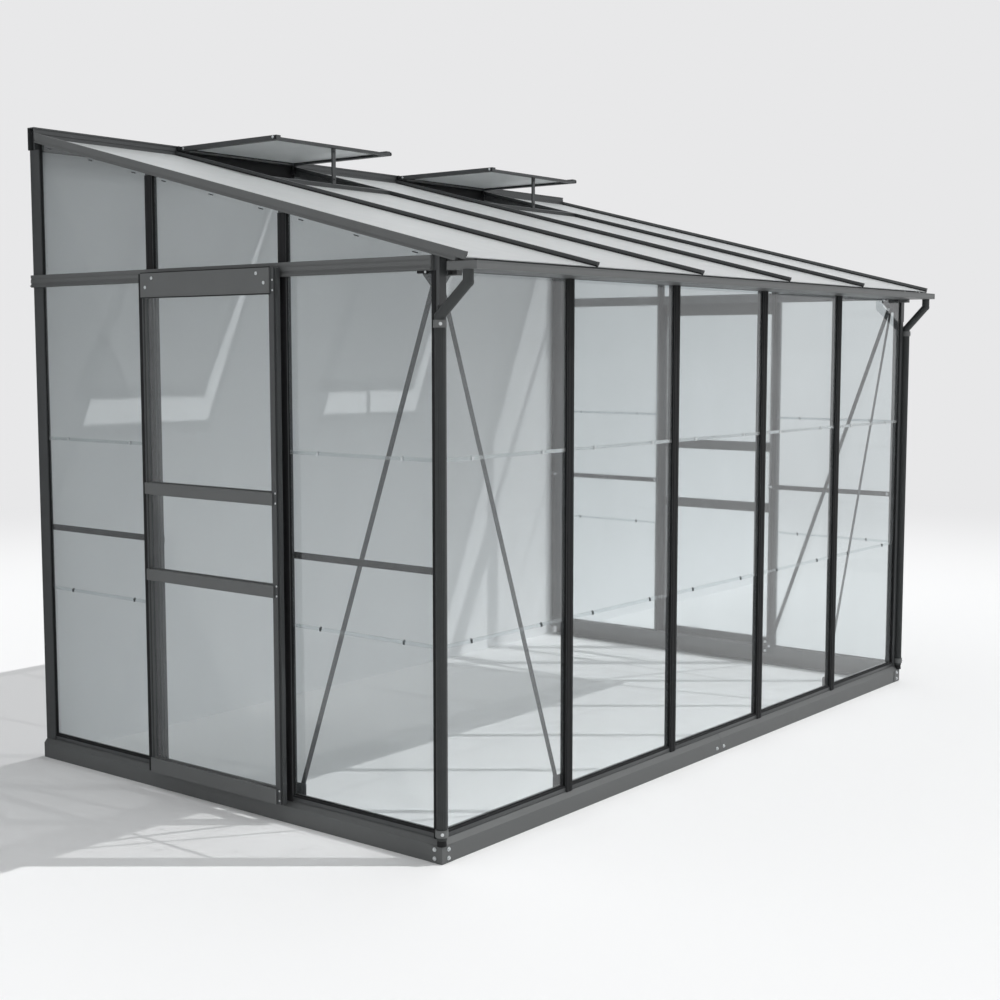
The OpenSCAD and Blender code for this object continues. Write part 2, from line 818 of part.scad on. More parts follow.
module vent_sides() {
  color("#3b3d3e") placed() both_vents() for (x = [0, vent_w - vent_bar])
    translate([x, 0, 0]) cube([vent_bar, vent_l, vent_h]);
}

// The free end's bar is lower than the one at the hinge.
module vent_ends() {
  color("#3b3d3e") placed() both_vents() {
    translate([vent_bar, 0, 0]) cube([vent_w - 2 * vent_bar, vent_bar, vent_end_h]);
    translate([vent_bar, vent_l - vent_bar, 0]) cube([vent_w - 2 * vent_bar, vent_bar, vent_h]);
  }
}

module vent_glass() {
  color("#dfe5e6", 0.4) placed() both_vents() translate([vent_bar, vent_bar, vent_h / 2])
    cube([vent_w - 2 * vent_bar, vent_l - 2 * vent_bar, glass_t]);
}

module vent_sills() {
  color("#3b3d3e") placed() on_roof() for (i = vent_bays)
    translate([bar_x(i) + roof_cap_w / 2, sill_u - sill_w / 2, glass_t])
      cube([bay - roof_cap_w, sill_w, roof_top - glass_t]);
}

// A stay stands on the sill and carries the vent's free end.
module vent_stays() {
  y = sill_u * cosp - roof_top * sin(pitch) - stay_t / 2;
  color("#3b3d3e") placed() for (i = vent_bays) difference() {
    translate([bar_x(i) + (bay - stay_w) / 2, y, vent_z - vent_l]) cube([stay_w, stay_t, vent_l]);
    on_roof() translate([bar_x(i), sill_u - vent_l / 2, roof_top - eave_z]) cube([bay, vent_l, eave_z]);
  }
}

// Sliding doors

// Plan of the front stile: a face beside the glass and a stepped outer edge.
module stile_outline() {
  difference() {
    square([stile_d, stile_w]);
    translate([-eps, -eps]) square([step_d + eps, step_w + eps]);
  }
}

module door_stiles() {
  translate([-half + door_d0, door_y0, door_z]) linear_extrude(door_top - door_z) stile_outline();
  translate([-half + door_d0, door_y0 + door_w, door_z]) linear_extrude(door_top - door_z)
    mirror([0, 1]) stile_outline();
}

module door_rail(z, h) {
  translate([-half + door_d0, door_y0 + stile_w, z])
    cube([stile_d, door_w - 2 * stile_w, h]);
  translate([-half + door_d0 - rail_face, door_y0 + stile_w - rail_over, z])
    cube([rail_face, door_w - 2 * stile_w + 2 * rail_over, h]);
}

module door_rails() {
  door_rail(door_z, bottom_rail_h);
  door_rail(rail_low_z, mid_rail_h);
  door_rail(rail_high_z, mid_rail_h);
  door_rail(door_top - top_plate_h, top_plate_h);
}

module door_pane(z0, z1) {
  translate([-half + door_d0 + stile_d / 2, door_y0 + stile_w, z0])
    cube([glass_t, door_w - 2 * stile_w, z1 - z0]);
}

module door_glass() {
  door_pane(door_z + bottom_rail_h, rail_low_z);
  door_pane(rail_low_z + mid_rail_h, rail_high_z);
  door_pane(rail_high_z + mid_rail_h, door_top - top_plate_h);
}

// Two rollers behind the top plate, each on its axle.
module door_rollers() {
  for (y = [door_y0 + roller_in, door_y0 + door_w - roller_in])
    translate([-half - door_gap, y, runner_z + roller_gap + roller_r]) rotate([0, 90, 0]) {
      cylinder(h = door_gap - runner_w, r = axle_r);
      translate([0, 0, door_gap - runner_w - roller_gap]) cylinder(h = runner_w, r = roller_r);
    }
}

module left_door_stiles() {
  color("#4b4d4e") placed() door_stiles();
}

module left_door_rails() {
  color("#555758") placed() door_rails();
}

module left_door_glass() {
  color("#c5d3d6", 0.35) placed() door_glass();
}

module left_door_rollers() {
  color("#26282a") placed() door_rollers();
}

module right_door_stiles() {
  color("#4b4d4e") placed() mirror([1, 0, 0]) door_stiles();
}

module right_door_rails() {
  color("#555758") placed() mirror([1, 0, 0]) door_rails();
}

module right_door_glass() {
  color("#c5d3d6", 0.35) placed() mirror([1, 0, 0]) door_glass();
}

module right_door_rollers() {
  color("#26282a") placed() mirror([1, 0, 0]) door_rollers();
}

base_front();
base_splice();
base_left();
base_right();
base_corners();
corner_posts();
front_bars();
wall_posts();
gable_bars();
track_left();
track_right();
door_runners();
gable_rafters();
roof_bars();
ridge_bar();
eave_beam();
gutter();
gutter_caps();
downpipes();
pipe_clips();
gable_mid_bars();
braces();
brace_plates();
glass_low();
glass_mid();
glass_top();
gable_top_glass();
roof_glass();
vent_sides();
vent_ends();
vent_glass();
vent_sills();
vent_stays();
left_door_stiles();
left_door_rails();
left_door_glass();
left_door_rollers();
right_door_stiles();
right_door_rails();
right_door_glass();
right_door_rollers();
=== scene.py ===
"""Looks of a lean-to glass greenhouse: finishes for the frame and glass, and the small fittings."""

import json
import math

import bmesh
import bpy
from mathutils import Matrix, Vector


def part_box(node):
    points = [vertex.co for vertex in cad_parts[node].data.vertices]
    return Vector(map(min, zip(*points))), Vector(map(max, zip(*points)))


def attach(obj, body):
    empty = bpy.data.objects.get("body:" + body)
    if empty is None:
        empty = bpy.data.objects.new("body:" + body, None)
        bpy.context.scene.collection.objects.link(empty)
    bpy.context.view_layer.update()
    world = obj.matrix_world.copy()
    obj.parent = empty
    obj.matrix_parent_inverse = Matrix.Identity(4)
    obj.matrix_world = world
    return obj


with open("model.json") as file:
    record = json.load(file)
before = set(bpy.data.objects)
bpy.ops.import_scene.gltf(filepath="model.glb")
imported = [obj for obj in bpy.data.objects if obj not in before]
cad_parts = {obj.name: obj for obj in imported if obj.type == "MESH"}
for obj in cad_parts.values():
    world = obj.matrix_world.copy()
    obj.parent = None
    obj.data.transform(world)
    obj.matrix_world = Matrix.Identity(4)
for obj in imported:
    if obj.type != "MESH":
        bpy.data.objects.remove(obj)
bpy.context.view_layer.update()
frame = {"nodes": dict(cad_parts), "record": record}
nodes = frame["nodes"]

MM = 0.001

# Planes of the frame, read from the solids

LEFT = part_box("base_left")[0].x
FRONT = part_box("base_front")[0].y
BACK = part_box("base_left")[1].y
BASE_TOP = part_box("base_front")[1].z
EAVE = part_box("track_left")[0].z
BEAM_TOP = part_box("track_left")[1].z
RIDGE_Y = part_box("ridge_bar")[0].y
RIDGE_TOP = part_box("ridge_bar")[1].z
PANE_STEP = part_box("glass_mid")[0].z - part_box("glass_low")[0].z
DOOR_LOW, DOOR_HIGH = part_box("left_door_stiles")
RAIL_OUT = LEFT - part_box("left_door_rails")[0].x
VENT_LOW, VENT_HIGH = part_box("vent_sides")

# Walls and bays: a gable's middle bay is its doorway

GABLES = ("left", "right")
FRONT_LENGTH = -2 * LEFT
BAY = 730 * MM
EDGE = 20 * MM
FRONT_BAYS = 5
GABLE_BAYS = 3
GLAZED_BAYS = (0, 2)
VENT_BAYS = (1, 3)

# Sizes of the roof and of the frame's profiles

PITCH = math.radians(14)
ROOF_Z = EAVE + 61 * MM
ROOF_OVER = 100 * MM
CAP_HALF = 18 * MM
CAP_BACK = 19 * MM
SEAT = 31 * MM
GLASS = 3 * MM
LAP_GAP = 0.3 * MM
INNER = 55 * MM
PLATE = 3 * MM
POST_EDGE = 48 * MM
WALL_EDGE = BACK - FRONT - 60 * MM
VENT_SIDE = 10 * MM

# Sizes that several fittings share

HEX_ACROSS = 9 * MM
HEX_HEIGHT = 4.5 * MM
ROUND_RADIUS = 5 * MM
ROUND_HEIGHT = 4 * MM
SEAL_ROUND = 1.2 * MM
TRIM_ROUND = 0.6 * MM
TOUCH = 0.1 * MM

# How near two places are that count as one, for an edge on a face and for a single point

NEAR = 0.1 * MM
SAME = 0.001 * MM

# The viewer stands off the left front corner, as in the photograph

camera_data = bpy.data.cameras.new("viewer")
camera_data.sensor_width = 36.0
camera_data.lens = 54.87
camera = bpy.data.objects.new("viewer", camera_data)
camera.location = (-5.637, -4.290, 1.722)
camera.rotation_euler = (math.radians(84.43), 0.0, math.radians(-51.655))
bpy.context.scene.collection.objects.link(camera)
bpy.context.scene.camera = camera
bpy.context.scene.view_settings.view_transform = "Standard"


# Materials


def linear(code):
    """An sRGB hex colour as linear RGB with full alpha."""
    channels = [int(code[i:i + 2], 16) / 255 for i in (1, 3, 5)]
    return [c / 12.92 if c <= 0.04045 else ((c + 0.055) / 1.055) ** 2.4 for c in channels] + [1.0]


def node(tree, kind, values=None, links=None, **fields):
    """Adds a node, sets its fields and input values, and links inputs from (node, output) pairs."""
    made = tree.nodes.new(kind)
    for name, value in fields.items():
        setattr(made, name, value)
    for name, value in (values or {}).items():
        made.inputs[name].default_value = value
    for name, (source, output) in (links or {}).items():
        tree.links.new(source.outputs[output], made.inputs[name])
    return made


def new_material(name):
    """An empty node material and its tree."""
    material = bpy.data.materials.new(name)
    material.use_nodes = True
    material.node_tree.nodes.clear()
    return material, material.node_tree


def powder_coat(name, dark, light, rough):
    """Powder-coated aluminium: a satin grey with the fine orange peel of a baked coat and a trace of dust."""
    material, tree = new_material(name)
    place = node(tree, "ShaderNodeTexCoord")
    # Dust and handling vary over about a hand's width.
    patches = node(tree, "ShaderNodeTexNoise", {"Scale": 9.0, "Detail": 5.0, "Roughness": 0.6},
                   {"Vector": (place, "Object")})
    tone = node(tree, "ShaderNodeMix", {"A": linear(dark), "B": linear(light)},
                {"Factor": (patches, "Fac")}, data_type="RGBA")
    gloss = node(tree, "ShaderNodeMapRange", {"From Min": 0.3, "From Max": 0.7, "To Min": rough - 0.06,
                                              "To Max": rough + 0.08}, {"Value": (patches, "Fac")})
    # Real orange peel is about 1.5 mm; it is drawn at 5 mm so that it shows.
    peel = node(tree, "ShaderNodeTexNoise", {"Scale": 1 / (5 * MM), "Detail": 2.0},
                {"Vector": (place, "Object")})
    bump = node(tree, "ShaderNodeBump", {"Strength": 0.12, "Distance": 0.6 * MM}, {"Height": (peel, "Fac")})
    shader = node(tree, "ShaderNodeBsdfPrincipled", {"IOR": 1.5},
                  {"Base Color": (tone, "Result"), "Roughness": (gloss, "Result"),
                   "Normal": (bump, "Normal")})
    node(tree, "ShaderNodeOutputMaterial", links={"Surface": (shader, "BSDF")})
    return material


def float_glass(name, clean, dusty, through, rough, sunlit):
    """Float glass: clear, faintly blue-grey, with a thin film of dust that veils what lies behind it."""
    material, tree = new_material(name)
    place = node(tree, "ShaderNodeTexCoord")
    # Rain draws the dust film out downwards, so the pattern is stretched in height.
    run = node(tree, "ShaderNodeMapping", {"Scale": (4.0, 4.0, 1.2)}, {"Vector": (place, "Object")})
    film = node(tree, "ShaderNodeTexNoise", {"Scale": 2.0, "Detail": 6.0, "Roughness": 0.62},
                {"Vector": (run, "Vector")})
    tone = node(tree, "ShaderNodeMix", {"A": linear(clean), "B": linear(dusty)},
                {"Factor": (film, "Fac")}, data_type="RGBA")
    haze = node(tree, "ShaderNodeMapRange", {"From Min": 0.35, "From Max": 0.75, "To Min": rough,
                                             "To Max": rough + 0.04}, {"Value": (film, "Fac")})
    shader = node(tree, "ShaderNodeBsdfPrincipled", {"IOR": 1.5, "Transmission Weight": through},
                  {"Base Color": (tone, "Result"), "Roughness": (haze, "Result")})
    # Each face of a pane passes this share of the sun, so that glass throws only a light shade.
    thinned = node(tree, "ShaderNodeBsdfTransparent", {"Color": (sunlit, sunlit, sunlit, 1.0)})
    rays = node(tree, "ShaderNodeLightPath")
    surface = node(tree, "ShaderNodeMixShader",
                   links={0: (rays, "Is Shadow Ray"), 1: (shader, "BSDF"), 2: (thinned, "BSDF")})
    node(tree, "ShaderNodeOutputMaterial", links={"Surface": (surface, "Shader")})
    return material


def moulded_polymer(name, dark, light, rough, grain, gleam):
    """Extruded or moulded polymer: matte, with a fine grain, slight mottling and little gleam."""
    material, tree = new_material(name)
    place = node(tree, "ShaderNodeTexCoord")
    # The mottling is about 4 cm across.
    mottle = node(tree, "ShaderNodeTexNoise", {"Scale": 24.0, "Detail": 4.0}, {"Vector": (place, "Object")})
    tone = node(tree, "ShaderNodeMix", {"A": linear(dark), "B": linear(light)},
                {"Factor": (mottle, "Fac")}, data_type="RGBA")
    fine = node(tree, "ShaderNodeTexNoise", {"Scale": 1 / grain, "Detail": 2.0},
                {"Vector": (place, "Object")})
    bump = node(tree, "ShaderNodeBump", {"Strength": 0.2, "Distance": 0.5 * MM}, {"Height": (fine, "Fac")})
    gloss = node(tree, "ShaderNodeMapRange", {"To Min": rough - 0.07, "To Max": rough + 0.07},
                 {"Value": (mottle, "Fac")})
    shader = node(tree, "ShaderNodeBsdfPrincipled", {"IOR": 1.5, "Specular IOR Level": gleam},
                  {"Base Color": (tone, "Result"), "Roughness": (gloss, "Result"),
                   "Normal": (bump, "Normal")})
    node(tree, "ShaderNodeOutputMaterial", links={"Surface": (shader, "BSDF")})
    return material


def bright_steel(name, pale, grey, rough):
    """Zinc-plated or stainless steel: bright, with faint cloudy spangle and small scratches in its gloss."""
    material, tree = new_material(name)
    place = node(tree, "ShaderNodeTexCoord")
    # The spangle's crystals are about 2.5 mm across.
    spangle = node(tree, "ShaderNodeTexVoronoi", {"Scale": 1 / (2.5 * MM)}, {"Vector": (place, "Object")})
    tone = node(tree, "ShaderNodeMix", {"A": linear(pale), "B": linear(grey)},
                {"Factor": (spangle, "Distance")}, data_type="RGBA")
    gloss = node(tree, "ShaderNodeMapRange", {"To Min": rough - 0.06, "To Max": rough + 0.12},
                 {"Value": (spangle, "Distance")})
    shader = node(tree, "ShaderNodeBsdfPrincipled", {"Metallic": 1.0},
                  {"Base Color": (tone, "Result"), "Roughness": (gloss, "Result")})
    node(tree, "ShaderNodeOutputMaterial", links={"Surface": (shader, "BSDF")})
    return material


finishes = {
    "frame_coat": powder_coat("anthracite_powder_coat", "#383a3b", "#444647", 0.42),
    "base_coat": powder_coat("base_powder_coat", "#4e5050", "#5a5c5c", 0.46),
    "gutter_coat": powder_coat("gutter_powder_coat", "#575959", "#636565", 0.42),
    "brace_coat": powder_coat("brace_powder_coat", "#333639", "#3e4143", 0.42),
    "door_coat": powder_coat("door_powder_coat", "#525454", "#5e6060", 0.42),
    "pipe_plastic": moulded_polymer("pipe_pvc", "#2b2e2f", "#363939", 0.45, 4 * MM, 0.4),
    "wall_glass": float_glass("wall_float_glass", "#eef2f3", "#e8eced", 0.975, 0.01, 0.84),
    "roof_glass": float_glass("roof_float_glass", "#e4e6e6", "#d6dada", 0.45, 0.28, 0.36),
}
for entry in frame["record"]["subparts"]:
    carried = nodes[entry["node"]]
    carried.data.materials.clear()
    carried.data.materials.append(finishes[entry["material_slot"]])
# The rafters' broad outer faces have the doors' slightly paler coat.
nodes["gable_rafters"].data.materials[0] = finishes["door_coat"]

zinc = bright_steel("zinc_plated_steel", "#e2e4e5", "#bfc3c5", 0.3)
stainless = bright_steel("stainless_spring_steel", "#e4e7e8", "#c6cacc", 0.24)
# A darker copy of the bright steel: painted reflection, for clips that mirror dark surroundings.
dark_reflection_steel = bright_steel("dark_reflection_spring_steel", "#6c7072", "#4c5052", 0.4)
rubber = moulded_polymer("epdm_rubber", "#121314", "#1b1c1e", 0.7, 3 * MM, 0.25)
lap_film = float_glass("clear_pvc_film", "#f8fafa", "#f2f5f5", 0.975, 0.17, 0.95)

# Studio: pale floor, pale surroundings, a card behind the open side, one sun and soft daylight

surround = linear("#e8e8e9")
world = bpy.data.worlds.new("daylight")
bpy.context.scene.world = world
world.use_nodes = True
sky = world.node_tree
sky.nodes.clear()
rays = node(sky, "ShaderNodeLightPath")
seen_or_mirrored = node(sky, "ShaderNodeMath", links={0: (rays, "Is Camera Ray"), 1: (rays, "Is Glossy Ray")},
                        operation="MAXIMUM")
shown = node(sky, "ShaderNodeMath", links={0: (seen_or_mirrored, 0), 1: (rays, "Is Transmission Ray")},
             operation="MAXIMUM")
pale = node(sky, "ShaderNodeBackground", {"Color": surround, "Strength": 1.0})
daylight = node(sky, "ShaderNodeBackground", {"Color": linear("#f6f7f8"), "Strength": 0.71})
choice = node(sky, "ShaderNodeMixShader", links={0: (shown, 0), 1: (daylight, 0), 2: (pale, 0)})
node(sky, "ShaderNodeOutputWorld", links={"Surface": (choice, 0)})

sun_way = Vector((-0.62, 0.78, -1.25))
sun_data = bpy.data.lights.new("sun", "SUN")
sun_data.energy = 1.74
sun_data.angle = math.radians(0.45)
sun = bpy.data.objects.new("sun", sun_data)
sun.rotation_euler = sun_way.to_track_quat("-Z", "Y").to_euler()
bpy.context.scene.collection.objects.link(sun)


def deselect():
    """Object mode with nothing selected."""
    if bpy.context.object and bpy.context.object.mode != "OBJECT":
        bpy.ops.object.mode_set(mode="OBJECT")
    bpy.ops.object.select_all(action="DESELECT")


deselect()
bpy.ops.mesh.primitive_plane_add(size=60)
floor = bpy.context.object
floor.name = "floor"
floor_paint, tree = new_material("pale_floor")
where = node(tree, "ShaderNodeTexCoord")
reach = node(tree, "ShaderNodeVectorMath", links={0: (where, "Object")}, operation="LENGTH")
# Past the object's shadow the floor takes the tone of the surroundings, so that no horizon shows.
fade = node(tree, "ShaderNodeMapRange", {"From Min": 4.5, "From Max": 11.0}, {"Value": (reach, "Value")},
            interpolation_type="SMOOTHSTEP")
ground = node(tree, "ShaderNodeBsdfDiffuse", {"Color": linear("#f3f3f3")})
beyond = node(tree, "ShaderNodeEmission", {"Color": surround, "Strength": 1.0})
blend = node(tree, "ShaderNodeMixShader", links={0: (fade, "Result"), 1: (ground, 0), 2: (beyond, 0)})
node(tree, "ShaderNodeOutputMaterial", links={"Surface": (blend, 0)})
floor.data.materials.append(floor_paint)

card_width = 9.0
card_height = 3.4
card_gap = 12 * MM
bpy.ops.mesh.primitive_plane_add(size=1)
card = bpy.context.object
card.name = "backdrop_card"
bpy.ops.object.mode_set(mode="EDIT")
bpy.ops.transform.resize(value=(card_width, card_height, 1.0))
bpy.ops.transform.rotate(value=math.radians(-90), orient_axis="X", center_override=(0, 0, 0))
bpy.ops.transform.translate(value=(0.0, BACK + card_gap, card_height / 2))
deselect()
card_paint, tree = new_material("pale_card")
where = node(tree, "ShaderNodeTexCoord")
heights = node(tree, "ShaderNodeSeparateXYZ", links={"Vector": (where, "Object")})
rise = node(tree, "ShaderNodeMapRange", {"From Min": 0.3, "From Max": 2.4}, {"Value": (heights, "Z")})
# The card is paler near the floor, as if lit from below.
fall_off = node(tree, "ShaderNodeMix", {"A": linear("#f0f1f2"), "B": linear("#cfd0d1")},
                {"Factor": (rise, "Result")}, data_type="RGBA")
card_face = node(tree, "ShaderNodeBsdfDiffuse", links={"Color": (fall_off, "Result")})
node(tree, "ShaderNodeOutputMaterial", links={"Surface": (card_face, 0)})
card.data.materials.append(card_paint)
# The card is only what shows through the panes; it neither hides the back nor shades the floor.
card.visible_camera = False
card.visible_shadow = False


# Modelling helpers


def choose(piece, kind, test):
    """In edit mode, selects the faces or edges that pass the test."""
    mesh = bmesh.from_edit_mesh(piece.data)
    bpy.ops.mesh.select_mode(type="FACE" if kind == "faces" else "EDGE")
    bpy.ops.mesh.select_all(action="DESELECT")
    for item in getattr(mesh, kind):
        item.select_set(test(item))
    mesh.select_flush_mode()
    bmesh.update_edit_mesh(piece.data)


def middle(item):
    """Centre of an edge or face."""
    return sum((v.co for v in item.verts), Vector()) / len(item.verts)


def level(edge):
    """Whether an edge lies flat."""
    return abs(edge.verts[0].co.z - edge.verts[1].co.z) < SAME


def lengthwise(edge):
    """Whether an edge of a piece one metre long runs along it."""
    return abs(edge.verts[0].co.x - edge.verts[1].co.x) > 0.5


def upright_at(face):
    """A test for the upright edges of a piece at its outer face."""
    return lambda edge: not level(edge) and middle(edge).y < face + NEAR


def thicken(piece, thickness, offset):
    """Gives a sheet its thickness."""
    deselect()
    bpy.context.view_layer.objects.active = piece
    solid = piece.modifiers.new("thickness", "SOLIDIFY")
    solid.thickness = thickness
    solid.offset = offset
    bpy.ops.object.modifier_apply(modifier=solid.name)


def block(low, high, round_off, test=None):
    """A block between two corners whose chosen edges are rounded off."""
    deselect()
    bpy.ops.mesh.primitive_cube_add(size=1)
    piece = bpy.context.object
    low, high = Vector(low), Vector(high)
    bpy.ops.object.mode_set(mode="EDIT")
    bpy.ops.transform.resize(value=high - low, center_override=(0, 0, 0))
    bpy.ops.transform.translate(value=(low + high) / 2)
    choose(piece, "edges", test or (lambda edge: True))
    bpy.ops.mesh.bevel(offset=round_off, segments=2)
    deselect()
    return piece


def round_head(radius, height):
    """A domed screw head on a thin washer, axis up, with its drive pressed in."""
    deselect()
    bpy.ops.mesh.primitive_cylinder_add(vertices=16, radius=radius * 1.3, depth=height * 0.3)
    head = bpy.context.object
    bpy.ops.object.mode_set(mode="EDIT")
    bpy.ops.transform.translate(value=(0, 0, height * 0.15))
    choose(head, "edges", lambda edge: level(edge) and middle(edge).z > height * 0.29)
    bpy.ops.mesh.bevel(offset=height * 0.08, segments=1)
    choose(head, "faces", lambda face: face.normal.z > 0.9 and len(face.verts) > 8)
    # From the washer up the head's side, over its dome and down into the drive, as (scale, rise)
    steps = ((0.78, 0.0), (1.0, 0.3), (0.86, 0.22), (0.66, 0.12), (0.6, 0.0), (0.9, -0.3))
    for scale, rise in steps:
        bpy.ops.mesh.extrude_region_move(TRANSFORM_OT_translate={"value": (0, 0, rise * height)})
        bpy.ops.transform.resize(value=(scale, scale, 1), center_override=(0, 0, 0))
    deselect()
    return head


def hex_head(across, height):
    """A hexagon bolt head with a chamfered top on a round washer, axis up."""
    deselect()
    bpy.ops.mesh.primitive_cylinder_add(vertices=6, radius=across / math.sqrt(3), depth=height)
    head = bpy.context.object
    bpy.ops.object.mode_set(mode="EDIT")
    bpy.ops.transform.translate(value=(0, 0, height * 0.75))
    choose(head, "faces", lambda face: face.normal.z > 0.9)
    bpy.ops.mesh.inset(thickness=across * 0.09)
    bpy.ops.transform.translate(value=(0, 0, height * 0.12))
    bpy.ops.mesh.select_all(action="DESELECT")
    bpy.ops.mesh.primitive_cylinder_add(vertices=16, radius=across * 0.85, depth=height * 0.3,
                                        location=(0, 0, height * 0.15))
    deselect()
    return head


def bent_strip(path, width, thickness):
    """A strip bent along a (y, z) path: its first flat, then edge after edge drawn on from it."""
    (y0, z0), (y1, z1) = path[:2]
    deselect()
    bpy.ops.mesh.primitive_plane_add(size=1, location=(0, (y0 + y1) / 2, (z0 + z1) / 2),
                                     rotation=(math.atan2(z1 - z0, y1 - y0), 0, 0))
    strip = bpy.context.object
    strip.scale = (width, math.hypot(y1 - y0, z1 - z0), 1)
    bpy.ops.object.transform_apply(location=True, rotation=True, scale=True)
    bpy.ops.object.mode_set(mode="EDIT")
    end = Vector((0, y1, z1))
    choose(strip, "edges", lambda edge: (middle(edge) - end).length < SAME)
    for (y, z), (next_y, next_z) in zip(path[1:], path[2:]):
        bpy.ops.mesh.extrude_region_move(TRANSFORM_OT_translate={"value": (0, next_y - y, next_z - z)})
    bpy.ops.mesh.select_all(action="SELECT")
    bpy.ops.mesh.normals_make_consistent(inside=False)
    thicken(strip, thickness, 0)
    return strip


def bead_ring(width, height, bead, depth):
    """A bead round a rectangle, flat on the ground plane and centred, with its top edges rounded."""
    deselect()
    bpy.ops.mesh.primitive_plane_add(size=1)
    ring = bpy.context.object
    bpy.ops.object.mode_set(mode="EDIT")
    bpy.ops.transform.resize(value=(width, height, 1), center_override=(0, 0, 0))
    bpy.ops.mesh.inset(thickness=bead)
    bpy.ops.mesh.delete(type="FACE")
    thicken(ring, depth, 1)
    bpy.ops.object.mode_set(mode="EDIT")
    choose(ring, "edges", lambda edge: level(edge) and middle(edge).z > depth / 2
           and len(edge.link_faces) == 2 and edge.calc_face_angle() > 1)
    bpy.ops.mesh.bevel(offset=depth * 0.3, segments=1)
    deselect()
    return ring


def spread(pattern, places, name, material, body):
    """Copies a pattern to each place, joins the copies to one piece and lets it ride on a body."""
    copies = []
    for place in places:
        twin = pattern.copy()
        twin.data = pattern.data.copy()
        twin.data.transform(place)
        bpy.context.scene.collection.objects.link(twin)
        copies.append(twin)
    bpy.data.objects.remove(pattern)
    deselect()
    for twin in copies:
        twin.select_set(True)
    bpy.context.view_layer.objects.active = copies[0]
    if len(copies) > 1:
        bpy.ops.object.join()
    piece = bpy.context.view_layer.objects.active
    piece.name = name
    piece.data.name = name
    piece.data.materials.clear()
    piece.data.materials.append(material)
    deselect()
    piece.select_set(True)
    bpy.ops.object.shade_smooth_by_angle(angle=math.radians(35))
    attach(piece, body)


# Places: a piece is modelled for the front, whose outside is -Y, and turned for the gables


def on_wall(wall, along, out, height):
    """A place along a wall from its front corner, out of the base face, and up."""
    turn = {"front": 0, "left": -90, "right": 90}[wall]
    spot = {"front": (LEFT + along, FRONT - out, height),
            "left": (LEFT - out, FRONT + along, height),
            "right": (-LEFT + out, FRONT + along, height)}[wall]
    return Matrix.Translation(spot) @ Matrix.Rotation(math.radians(turn), 4, "Z")


def outward(wall, along, out, height):
    """A place on a wall for a piece whose own axis, up, is to point outdoors."""
    return on_wall(wall, along, out, height) @ Matrix.Rotation(math.radians(90), 4, "X")


def inward(wall, along, depth, height):
    """A place on a wall for a piece whose own axis, up, is to point into the room."""
    return on_wall(wall, along, -depth, height) @ Matrix.Rotation(math.radians(-90), 4, "X")


def span(wall, start, length, out, height):
    """A place on a wall that draws a piece one metre long out to a length along the wall."""
    # On the left gable a piece's own length runs back towards the front corner.
    first = start + length if wall == "left" else start
    return on_wall(wall, first, out, height) @ Matrix.Diagonal((length, 1, 1, 1))


def on_roof(x, up_slope, out):
    """A place on the roof: across, up the slope from the front base face, and out of the glass."""
    slope = Matrix.Translation((0, FRONT, ROOF_Z)) @ Matrix.Rotation(PITCH, 4, "X")
    return slope @ Matrix.Translation((x, up_slope, out))


def bar_at(number):
    """Distance of a bar's centre line from the front corner."""
    return EDGE + number * BAY


def roof_height(along, out):
    """Height of a level of the roof over a place on a gable."""
    return ROOF_Z + along * math.tan(PITCH) + out / math.cos(PITCH)


# The glazed bays of the three walls, as (wall, first visible edge, last visible edge)

bays = []
for wall, numbers, last_edge in (("front", range(FRONT_BAYS), FRONT_LENGTH - POST_EDGE),
                                 ("left", GLAZED_BAYS, WALL_EDGE),
                                 ("right", GLAZED_BAYS, WALL_EDGE)):
    for number in numbers:
        first = POST_EDGE if number == 0 else bar_at(number) + CAP_HALF
        last = last_edge if number == numbers[-1] else bar_at(number + 1) - CAP_HALF
        bays.append((wall, first, last))

# Base: bolts of the corner brackets and of the splice

bracket_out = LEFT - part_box("base_corners")[0].x
bolt_from_corner = 31 * MM
bracket_bolt_heights = (17 * MM, 48 * MM)
splice_bolt_reach = 28 * MM
splice_bolt_height = 24 * MM
corner_bolts = []
for height in bracket_bolt_heights:
    for along in (bolt_from_corner, FRONT_LENGTH - bolt_from_corner):
        corner_bolts.append(outward("front", along, bracket_out, height))
    for wall in GABLES:
        corner_bolts.append(outward(wall, bolt_from_corner, bracket_out, height))
spread(hex_head(HEX_ACROSS, HEX_HEIGHT), corner_bolts, "corner_bracket_bolts", zinc, "frame")
splice_bolts = []
for side in (-1, 1):
    splice_bolts.append(outward("front", FRONT_LENGTH / 2 + side * splice_bolt_reach, 0, splice_bolt_height))
spread(hex_head(HEX_ACROSS, HEX_HEIGHT), splice_bolts, "splice_bolts", zinc, "frame")

# Pane clips: at each lap a bent steel strip holds the upper pane on the lower one

# The clip's bends, in and up from the lap in millimetres
clip_path = [(-4.8, 11), (-4.8, 2), (-4.4, -1.4), (-2.0, -2.4), (-0.2, -1.4), (0.1, 4), (0.3, 12.5),
             (1.4, 14.6), (3.6, 14.6), (4.4, 12.5), (4.4, 4)]
clip_from_middle = 200 * MM
clip_steel = 0.8 * MM
# A bent strip one metre long is made about its middle, and a span starts at its end.
from_end = Matrix.Translation((0.5, 0, 0))
lap_places = []
# The lower lap's clips are narrower than the upper lap's, and their steel is darker: painted reflection,
# standing in for the darker surroundings they mirror.
for row, steel, clip_width in ((1, dark_reflection_steel, 6 * MM), (2, stainless, 8 * MM)):
    lap_z = BASE_TOP + row * PANE_STEP
    lap_in = SEAT - row * GLASS - (row - 0.5) * LAP_GAP
    clip_places = []
    for wall, first, last in bays:
        if row == 2:
            lap_places.append(span(wall, first, last - first, -lap_in, lap_z) @ from_end)
        for side in (-1, 1):
            clip_places.append(on_wall(wall, (first + last) / 2 + side * clip_from_middle, -lap_in, lap_z))
    clip = bent_strip([(y * MM, z * MM) for y, z in clip_path], clip_width, clip_steel)
    spread(clip, clip_places, "pane_clips_%d" % row, steel, "frame")

